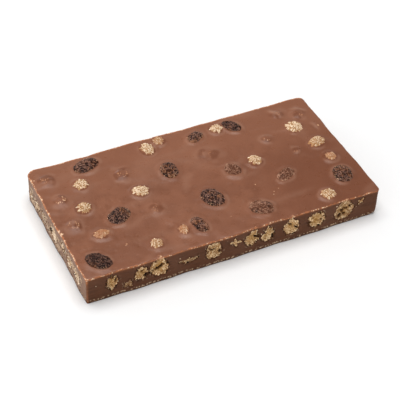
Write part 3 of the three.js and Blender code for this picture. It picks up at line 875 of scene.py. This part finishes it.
def cleft_depth(key, along, up, seed):
    """From 0 to 1, how deep in a piece's clefts points of its cut face are."""
    face = flat_points(along, up)
    along = along + 0.4 * noise(face, 1.2, seed) + 0.2 * noise(face, 0.5, seed + 1)
    up = up + 0.4 * noise(face, 1.2, seed + 2) + 0.2 * noise(face, 0.5, seed + 3)
    deepest = np.zeros_like(along)
    for cleft in CLEFTS.get(key, ()):
        deepest = np.maximum(deepest, smooth(1.45 - np.hypot(*in_oval(cleft, along, up))))
    return deepest


def side_and_index(node):
    """The side that a node's name gives, and its number."""
    _, side, index = node.split("_")
    return side, int(index)


def build_side_biscuit(node, key, cut, ball, material):
    """A ball of crumb cut through by a side: a broken face in the side, and a dome behind."""
    side, index = key
    polar, around, faces = crowded_ball(ball, *CUT_CROWD)
    share = np.minimum(1, polar / math.radians(90))
    behind = np.maximum(0, polar - math.pi / 2)
    seed = 700 + 40 * index + len(side) * 5
    low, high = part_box(node)
    thick = abs(Vector(high - low).dot(Vector((*SIDES[side]["inward"], 0)))) / MM
    flat = np.where(behind > 0, np.cos(behind), share)
    radius = radius_at(cut, around)
    u = radius * flat * np.cos(around)
    v = radius * flat * np.sin(around)
    along, up = cut["middle"][0] + u, cut["middle"][1] + v
    face = np.column_stack([u, v, np.full_like(u, 3.1 * index)])
    knobs = crumb_knobs(face, seed + 9)
    grains = crumb_grains(face, "cut", seed + 13)
    small = np.median(radius) < 2.0
    inner = smooth((1 - share**2) * (1.1 + 0.5 * noise(face, 2.6, seed + 20)) - 0.25)
    inner = inner * (0.3 if small else 1.0)
    rough = 0.55 * noise(face, 1.5, seed + 25) * (1 - share**4)
    cleft = 0.85 * cleft_depth(key, along, up, seed + 30)
    if key not in CLEFTS and not small:
        cleft = 0.9 * smooth((noise(face, 2.0, seed + 31) - 0.4) / 0.3) * (1 - share**4)
    past = radius * share - np.interp(around, cut["angles"], cut["reach"], period=2 * math.pi)
    bare = 1 - smooth(past / 0.12 + 0.5)
    notched = 0.1 if key in ARMS else 0.67
    shaded = smooth(notched + 0.4 * np.cos(around + math.radians(50)) + 0.8 * noise(face, 1.5, seed + 34))
    dots = smooth((0.55 - cells(face, 0.95, seed + 36)) / 0.2)
    notch = (1 - bare) * shaded * dots
    outward = 0.26 * (knobs - 1) + 0.3 * (grains - 0.8) - 0.4 * inner + 0.2 * rough - 1.2 * cleft
    outward = np.minimum(outward, 0.0) * bare - 0.12 * (1 - bare) - 0.8 * notch
    depth = np.where(behind > 0, thick * np.sin(behind), -outward)
    inset = side_wave(side, along) + depth
    start, direction, inward = (np.array(SIDES[side][k]) for k in ("start", "along", "inward"))
    place = start + along[:, None] * direction + inset[:, None] * inward
    points = np.column_stack([place, np.minimum(up, CUT_TOP)]) - MIDDLE
    faint = FAINT.get(key, 0.0)
    values = {
        # The crumb's colour follows its height: painted shade in the gaps, painted highlight on the tips
        "crumb": smooth(0.4 * knobs + 1.1 * grains - 0.18 + 0.4 * rough),
        "inner": inner,
        # How dark clefts and notches are painted, as painted shade, the notches more on the lower right
        "cleft": np.maximum(cleft, notch),
        "film": 0.52 + past / 0.4,
        "veil": np.clip(faint * (1.3 + 1.2 * noise(face, 1.3, seed + 35)), 0, 1),
    }
    add_mesh(f"{node}_crumb", points, faces, [material], [node], values)


# Materials

class Nodes:
    """A small helper that adds nodes to a material or world and links them."""

    def __init__(self, owner, colour=None, shader="Principled BSDF", place="Object"):
        owner.use_nodes = True
        self.owner = owner
        self.colour = colour
        self.tree = owner.node_tree
        self.shader = self.tree.nodes[shader]
        self.place = self.add("ShaderNodeTexCoord").outputs[place]

    def add(self, kind, inputs=None, **settings):
        node = self.tree.nodes.new(kind)
        for key, value in settings.items():
            setattr(node, key, value)
        for key, value in (inputs or {}).items():
            self.set(node.inputs[key], value)
        return node

    def set(self, socket, value):
        if isinstance(value, bpy.types.NodeSocket):
            self.tree.links.new(value, socket)
        elif isinstance(value, (tuple, list)) and socket.type == "RGBA":
            socket.default_value = (*value, 1.0)
        else:
            socket.default_value = value

    def stretched(self, x, y, z):
        return self.add("ShaderNodeMapping", {"Vector": self.place, "Scale": (x, y, z)}).outputs[0]

    def noise(self, size_mm, detail=3.0, roughness=0.55, place=None):
        inputs = {"Scale": 1 / (size_mm * MM), "Detail": detail, "Roughness": roughness}
        inputs["Vector"] = place or self.place
        return self.add("ShaderNodeTexNoise", inputs).outputs["Fac"]

    def voronoi(self, size_mm):
        inputs = {"Vector": self.place, "Scale": 1 / (size_mm * MM)}
        return self.add("ShaderNodeTexVoronoi", inputs).outputs["Distance"]

    def value(self, name):
        return self.add("ShaderNodeAttribute", attribute_name=name).outputs["Fac"]

    def axis(self, name):
        return self.add("ShaderNodeSeparateXYZ", {"Vector": self.place}).outputs[name]

    def ramp(self, value, low, high, to_low=0.0, to_high=1.0):
        inputs = {0: value, 1: low, 2: high, 3: to_low, 4: to_high}
        return self.add("ShaderNodeMapRange", inputs, interpolation_type="SMOOTHSTEP").outputs[0]

    def maths(self, operation, a, b):
        return self.add("ShaderNodeMath", {0: a, 1: b}, operation=operation).outputs[0]

    def product(self, first, *others):
        for other in others:
            first = self.maths("MULTIPLY", first, other)
        return first

    def mix(self, share, a, b):
        node = self.add("ShaderNodeMix", data_type="RGBA")
        self.set(node.inputs[0], share)
        self.set(node.inputs[6], a)
        self.set(node.inputs[7], b)
        return node.outputs[2]

    def paint(self, share, colour):
        """Covers a share of the surface, from 0 to 1, with a colour."""
        self.colour = self.mix(share, self.colour, colour)

    def bump(self, height, strength, distance_mm):
        inputs = {"Height": height, "Strength": strength, "Distance": distance_mm * MM}
        self.set(self.shader.inputs["Normal"], self.add("ShaderNodeBump", inputs).outputs["Normal"])

    def finish(self, roughness, **constants):
        self.set(self.shader.inputs["Base Color"], self.colour)
        self.set(self.shader.inputs["Roughness"], roughness)
        for key, value in constants.items():
            self.shader.inputs[key.replace("_", " ")].default_value = value
        return self.owner


def new_material(name, colour):
    return Nodes(bpy.data.materials.new(name), colour)


# Colours of chocolate, crumb and dust, and of painted light and shade
CHOCOLATE = (0.21, 0.078, 0.04)
CHOCOLATE_PALE = (0.25, 0.096, 0.05)
CHOCOLATE_DEEP = (0.185, 0.064, 0.03)
CHOCOLATE_SHADE_AND_MOTTLE = (0.15, 0.044, 0.017)
CHOCOLATE_SHEEN_AND_SCUFF = (0.36, 0.185, 0.12)
# The cut sides are darker than the top, partly as cut chocolate is and partly as painted shade
CUT_CHOCOLATE = (0.102, 0.037, 0.016)
CUT_CHOCOLATE_PALE = (0.118, 0.045, 0.021)
CUT_CHOCOLATE_LIT = (0.24, 0.135, 0.088)
UNDER_EDGE = (0.16, 0.053, 0.02)
EDGE_HIGHLIGHT = (0.43, 0.15, 0.058)
FLECK = (0.88, 0.62, 0.41)
DUST = (0.55, 0.39, 0.25)
DUST_DEEP = (0.32, 0.2, 0.12)
CREVICE_SHADE = (0.07, 0.028, 0.012)
CRUMB_TINT = (0.52, 0.23, 0.11)
GAP_DARK = (0.02, 0.009, 0.005)


def top_chocolate():
    """Milk chocolate with reddish painted shade round its pieces and painted highlight on the paler swells,
    darker toward the right and the front right and paler toward the back as painted light.
    """
    n = new_material("milk_chocolate", CHOCOLATE)
    n.paint(n.ramp(n.noise(14, 2.0), 0.35, 0.65), CHOCOLATE_PALE)
    n.paint(n.ramp(n.noise(4.5, 5.0, 0.65), 0.45, 0.7, 0.0, 0.8), CHOCOLATE_DEEP)
    n.paint(n.ramp(n.noise(2.2, 3.0, 0.65), 0.56, 0.75, 0.0, 0.2), CHOCOLATE_SHEEN_AND_SCUFF)
    # Painted light: darker toward the right and at the front right, paler toward the back
    n.paint(n.ramp(n.axis("X"), 0.0, 0.06, 0.0, 0.75), CHOCOLATE_DEEP)
    front = n.ramp(n.axis("Y"), 0.015, -0.01)
    n.paint(n.product(front, n.ramp(n.axis("X"), -0.01, 0.05, 0.0, 0.5)), CHOCOLATE_SHADE_AND_MOTTLE)
    n.paint(n.ramp(n.axis("Y"), 0.0, 0.02, 0.0, 0.6), CHOCOLATE_PALE)
    # Painted highlight on swells, mounds and waves, then painted shade round the pieces
    n.paint(n.product(n.value("pale"), 0.45), CHOCOLATE_SHEEN_AND_SCUFF)
    n.paint(n.ramp(n.value("painted_shade"), 0.0, 1.0, 0.0, 0.8), CHOCOLATE_SHADE_AND_MOTTLE)
    paint_edge_highlight(n)
    paint_crumbs(n)
    n.bump(n.noise(0.5, 3.0), 0.12, 0.3)
    gloss = n.ramp(n.noise(4.0, 3.0), 0.3, 0.7, 0.27, 0.34)
    roughness = n.maths("MAXIMUM", gloss, n.product(n.value("edge"), 0.75))
    return n.finish(roughness, IOR=1.46, Specular_IOR_Level=0.3)


def paint_crumbs(n):
    """Crumb that shows through a thin place in the chocolate."""
    tint = n.value("tint")
    grain = n.ramp(n.voronoi(0.6), 0.5, 0.25)
    n.paint(n.ramp(n.product(tint, n.ramp(grain, 0, 1, 0.5, 1.5)), 0.3, 0.8), CRUMB_TINT)
    n.paint(n.product(grain, n.ramp(tint, 0.4, 0.9, 0.0, 0.7)), FLECK)
    n.paint(n.ramp(tint, 1.0, 1.4, 0.0, 0.8), FLECK)


def paint_edge_highlight(n):
    """Painted highlight in orange-brown along the edge, with pale specks of painted glint, more of them on
    the left.
    """
    edge = n.value("edge")
    n.paint(n.product(edge, n.ramp(n.noise(1.2, 3.0), 0.35, 0.6, 0.35, 1.0)), EDGE_HIGHLIGHT)
    specks = n.ramp(n.voronoi(0.62), 0.46, 0.28)
    more = n.maths("ADD", n.noise(1.8, 2.0), n.ramp(n.value("lit_side"), 0.5, 1.0, 0.0, 0.08))
    n.paint(n.product(specks, n.ramp(edge, 0.6, 0.95), n.ramp(more, 0.44, 0.52)), FLECK)


def cut_chocolate():
    """Chocolate as a blade leaves it: duller, and darker partly of itself and partly as painted shade,
    lighter on the lit sides as painted light, with dust of crumb smeared over it, painted shade in its
    crevices and at its foot, and the edge's painted highlight.
    """
    n = new_material("cut_chocolate", CUT_CHOCOLATE)
    n.paint(n.ramp(n.noise(9, 2.0), 0.35, 0.65), CUT_CHOCOLATE_PALE)
    streaks = n.noise(1.6, 3.0, place=n.stretched(0.35, 0.35, 1.6))
    n.paint(n.ramp(streaks, 0.4, 0.75, 0.0, 0.3), GAP_DARK)
    n.paint(n.ramp(n.axis("Z"), 0.0104, 0.0119, 0.0, 0.9), UNDER_EDGE)
    # Painted light: the lighter, greyer colour of the lit sides
    greyer = n.ramp(n.noise(1.1, 3.0, place=n.stretched(1, 1, 0.5)), 0.3, 0.7, 0.7, 1.0)
    n.paint(n.product(n.value("lit_side"), greyer), CUT_CHOCOLATE_LIT)
    grains = n.noise(0.8, 4.0, 0.65, place=n.stretched(1, 0.6, 1))
    smears = n.maths("ADD", grains, n.product(n.value("dust"), 0.6))
    dust = n.mix(n.ramp(n.noise(0.4, 2.0), 0.35, 0.6), DUST_DEEP, DUST)
    n.paint(n.product(n.ramp(smears, 0.7, 0.85), 0.9), dust)
    n.paint(n.product(n.ramp(smears, 0.95, 1.1), 0.7), FLECK)
    # Painted shade in the crevices between the smears of dust
    hollows = n.noise(1.0, 3.0, place=n.stretched(1, 0.5, 1))
    crevice_shade = n.product(n.ramp(hollows, 0.44, 0.36), n.ramp(n.value("dust"), 0.1, 0.4), 0.85)
    n.paint(crevice_shade, CREVICE_SHADE)
    # Painted shade at the foot, darker toward the very bottom
    n.paint(n.ramp(n.axis("Z"), 0.001, 0.0004, 0.0, 0.7), CREVICE_SHADE)
    # A dotted line along the foot, darker between its pale dots as painted shade
    foot = n.product(n.ramp(n.axis("Z"), 0.0005, 0.0008), n.ramp(n.axis("Z"), 0.0017, 0.0013))
    dots = n.voronoi(0.85)
    n.paint(n.product(foot, n.ramp(dots, 0.45, 0.6), 0.5), CREVICE_SHADE)
    n.paint(n.product(foot, n.ramp(dots, 0.5, 0.35), 0.75), DUST)
    specks = n.product(n.ramp(n.voronoi(2.6), 0.13, 0.07), n.ramp(n.noise(6, 2.0), 0.5, 0.6))
    n.paint(specks, FLECK)
    paint_edge_highlight(n)
    paint_crumbs(n)
    n.bump(n.noise(0.5, 3.0), 0.2, 0.3)
    return n.finish(0.5, IOR=1.46, Specular_IOR_Level=0.11)


def sole_chocolate():
    """The underside: smooth and a little mottled, with small dark dots of painted shade where pits would be,
    and scuffs.
    """
    n = new_material("sole_chocolate", CHOCOLATE_DEEP)
    n.paint(n.ramp(n.noise(11, 4.0), 0.38, 0.62), CHOCOLATE_PALE)
    n.paint(n.ramp(n.noise(3.0, 5.0, 0.65), 0.45, 0.7, 0.0, 0.7), CHOCOLATE_SHADE_AND_MOTTLE)
    scuffs = n.ramp(n.noise(3.5, 4.0, place=n.stretched(0.3, 1.4, 1)), 0.56, 0.68, 0.0, 0.3)
    n.paint(scuffs, CHOCOLATE_SHEEN_AND_SCUFF)
    # Painted shade: small dark dots where pits would be
    pits = n.product(n.ramp(n.voronoi(3.1), 0.14, 0.08), n.ramp(n.noise(7, 2.0), 0.42, 0.55))
    n.paint(pits, CREVICE_SHADE)
    n.bump(n.noise(2.2, 4.0), 0.25, 0.3)
    return n.finish(n.ramp(n.noise(5.0, 3.0), 0.3, 0.7, 0.3, 0.5), IOR=1.46, Specular_IOR_Level=0.3)


def raisin_material():
    """Nearly black skin whose ridges are painted pale, partly as dusty bloom and partly as painted highlight,
    browner in places, and chocolate over some.
    """
    n = new_material("raisin_skin", (0.011, 0.004, 0.003))
    ridge = n.value("ridge")
    # Ridges painted pale, with paler specks on them: partly the skin's dusty bloom, partly painted highlight
    n.paint(ridge, (0.22, 0.105, 0.074))
    dust = n.ramp(n.noise(0.4, 4.0), 0.54, 0.66)
    n.paint(n.product(dust, ridge, 0.85), (0.46, 0.29, 0.21))
    brown = n.product(n.ramp(n.noise(2.4, 3.0), 0.48, 0.62), n.ramp(n.value("film"), -0.6, -0.1))
    n.paint(n.product(brown, 0.75), n.mix(ridge, (0.045, 0.011, 0.004), (0.3, 0.125, 0.055)))
    filmed = n.mix(ridge, (0.115, 0.04, 0.02), (0.34, 0.17, 0.108))
    n.paint(n.ramp(n.value("film"), 0.3, 0.75, 0.0, 0.9), filmed)
    specks = n.ramp(n.voronoi(0.6), 0.4, 0.24)
    n.paint(n.product(specks, n.ramp(n.value("rim"), 0, 1, 0.0, 0.9)), (0.62, 0.37, 0.225))
    n.bump(n.noise(0.3, 3.0), 0.3, 0.2)
    return n.finish(0.38, IOR=1.46, Specular_IOR_Level=0.07)


def biscuit_material(name, deep, middle, pale, inside, veil, chocolate):
    """Crumb from its deep gaps to its pale tips, partly its own colour and partly painted shade and painted
    highlight, toasted in places, in a rim of chocolate, with clefts and notches painted near black as painted
    shade.
    """
    n = new_material(name, deep)
    # Darker in the gaps as painted shade and paler on the tips as painted highlight, on top of the crumb's
    # own colours
    crumb = n.maths("ADD", n.value("crumb"), n.ramp(n.voronoi(0.38), 0.15, 0.6, 0.18, -0.22))
    n.paint(n.ramp(crumb, 0.0, 0.5), middle)
    n.paint(n.ramp(crumb, 0.35, 0.95), pale)
    toasted = n.ramp(n.noise(1.5, 3.0), 0.5, 0.66)
    n.paint(n.product(toasted, 0.45), (0.46, 0.22, 0.085))
    n.paint(n.product(n.value("inner"), 0.7), inside)
    around = n.ramp(n.value("film"), 0.3, 0.5)
    n.paint(n.product(around, 0.6), (0.44, 0.17, 0.065))
    n.paint(n.product(n.value("veil"), 0.85), veil)
    n.paint(n.ramp(n.value("film"), 0.46, 0.58), chocolate)
    # Painted shade: clefts and notches painted near black
    n.paint(n.ramp(n.value("cleft"), 0.1, 0.45), (0.16, 0.07, 0.022))
    n.paint(n.ramp(n.value("cleft"), 0.45, 0.85), (0.025, 0.01, 0.005))
    n.bump(n.noise(0.25, 3.0), 0.4, 0.2)
    return n.finish(0.8, IOR=1.4, Specular_IOR_Level=0.25)


# Surroundings

# The light all round: the way to its bright part, the heights at which that ends, its strengths
GLOW = {"toward": (-1.0, 0.2, 0.0), "low": 0.15, "high": 0.55, "around": 0.4, "bright": 2.3}
LIGHT = {
    "name": "softbox", "azimuth": 190, "elevation": 84, "distance": 1.3, "size": (1.0, 1.0), "power": 13.3,
}

# The camera that the photograph was taken with, worked out from the slab's corners
CAMERA = {
    "azimuth": -27.54, "elevation": 42.49, "roll": 2.83,
    "distance": 479.7, "lens": 111.24, "look_at": (0.52, 2.44, 0.0),
}


def direction(azimuth, elevation):
    """The way out from the origin; azimuth 0 is to the front, and 90 to the right."""
    azimuth, elevation = math.radians(azimuth), math.radians(elevation)
    flat = math.cos(elevation)
    return Vector((math.sin(azimuth) * flat, -math.cos(azimuth) * flat, math.sin(elevation)))


def add_camera():
    back = direction(CAMERA["azimuth"], CAMERA["elevation"])
    azimuth, roll = math.radians(CAMERA["azimuth"]), math.radians(CAMERA["roll"])
    level = Vector((math.cos(azimuth), math.sin(azimuth), 0))
    upright = back.cross(level)
    right = math.cos(roll) * level + math.sin(roll) * upright
    up = math.cos(roll) * upright - math.sin(roll) * level
    data = bpy.data.cameras.new("camera")
    data.lens = CAMERA["lens"]
    data.sensor_width = 36
    data.clip_start, data.clip_end = 0.01, 20
    camera = add_object("camera", data)
    turn = Matrix((right, up, back)).transposed().to_4x4()
    place = (Vector(CAMERA["look_at"]) + back * CAMERA["distance"]) * MM
    camera.matrix_world = Matrix.Translation(place) @ turn
    bpy.context.scene.camera = camera


def add_area_light(name, azimuth, elevation, distance, size, power):
    """A rectangular lamp turned to the origin."""
    away = direction(azimuth, elevation)
    data = bpy.data.lights.new(name, "AREA")
    data.shape = "RECTANGLE"
    data.size, data.size_y = size
    data.energy = power
    light = add_object(name, data)
    light.location = away * distance
    light.rotation_mode = "QUATERNION"
    light.rotation_quaternion = away.to_track_quat("Z", "Y")


def add_floor():
    half, below = 3.0, -2e-5
    mesh = bpy.data.meshes.new("floor")
    corners = [(-half, -half, below), (half, -half, below), (half, half, below), (-half, half, below)]
    mesh.from_pydata(corners, [], [(0, 1, 2, 3)])
    mesh.materials.append(new_material("floor", (0.92, 0.92, 0.92)).finish(0.9, Specular_IOR_Level=0.0))
    floor = add_object("floor", mesh)


def add_world():
    """Soft light all round, with a pale glow low down at the back and the left."""
    n = Nodes(bpy.data.worlds.new("studio"), None, "Background", "Generated")
    toward = n.add("ShaderNodeVectorMath", {0: n.place, 1: GLOW["toward"]}, operation="DOT_PRODUCT")
    sideways = n.ramp(toward.outputs["Value"], -0.3, 0.5)
    low_down = n.ramp(n.axis("Z"), GLOW["low"], GLOW["high"], 1.0, 0.0)
    strength = n.ramp(n.product(sideways, low_down), 0.0, 1.0, GLOW["around"], GLOW["bright"])
    n.set(n.shader.inputs["Strength"], strength)
    n.set(n.shader.inputs["Color"], (1, 1, 1))
    bpy.context.scene.world = n.owner


def add_surroundings():
    scene = bpy.context.scene
    scene.view_settings.view_transform = "Standard"
    scene.view_settings.look = "None"
    add_world()
    add_area_light(**LIGHT)
    add_floor()
    add_camera()


# The whole bar

def side_cuts_of(nodes):
    """The outline of each biscuit piece in the side that cuts it."""
    cuts = {}
    for node in nodes:
        side, index = side_and_index(node)
        start, along, inward = (np.array((*SIDES[side][k], 0)) for k in ("start", "along", "inward"))
        points, _ = node_mesh(node)
        middle = ((points.min(0) + points.max(0)) / 2 - start) @ along
        origin = start + inward * (side_wave(side, middle) + SECTION_DEPTH)
        cut = section(node, origin, along, np.array([0, 0, 1]), inward)
        cuts[side, index] = ragged(cut, (side, index), 900 + 7 * index + len(side))
    return cuts


def build():
    starts = tuple(f"biscuit_{side}" for side in SIDES)
    side_nodes = [node for node in sorted(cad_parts) if node.startswith(starts)]
    side_cuts = side_cuts_of(side_nodes)
    skin = raisin_material()
    crust = biscuit_material(
        "biscuit_crust", (0.36, 0.19, 0.08), (0.61, 0.41, 0.245), (0.94, 0.75, 0.55),
        inside=(0.45, 0.27, 0.13), veil=(0.42, 0.175, 0.085), chocolate=CHOCOLATE,
    )
    crumb = biscuit_material(
        "biscuit_inside", (0.28, 0.14, 0.05), (0.68, 0.44, 0.22), (1.0, 0.78, 0.51),
        inside=(0.42, 0.22, 0.06), veil=(0.15, 0.07, 0.035), chocolate=CUT_CHOCOLATE,
    )
    # On the left, the chocolate round the pieces takes the lighter colour of the lit side, as painted light
    smeared = biscuit_material(
        "biscuit_smeared", (0.36, 0.22, 0.13), (0.8, 0.62, 0.45), (1.0, 0.86, 0.69),
        inside=(0.5, 0.34, 0.19), veil=CUT_CHOCOLATE_LIT, chocolate=CUT_CHOCOLATE_LIT,
    )
    ball = even_ball(BALL_STEPS)
    build_slab([top_chocolate(), cut_chocolate(), sole_chocolate()], side_cuts)
    for index, place in enumerate(RAISINS, 1):
        build_raisin(index, place, ball, skin)
    for index, place in enumerate(TOP_BISCUITS, 1):
        build_top_biscuit(index, place, ball, crust)
    for node in side_nodes:
        key = side_and_index(node)
        look = smeared if "left" in key else crumb
        build_side_biscuit(node, key, side_cuts[key], ball, look)
    add_surroundings()


build()
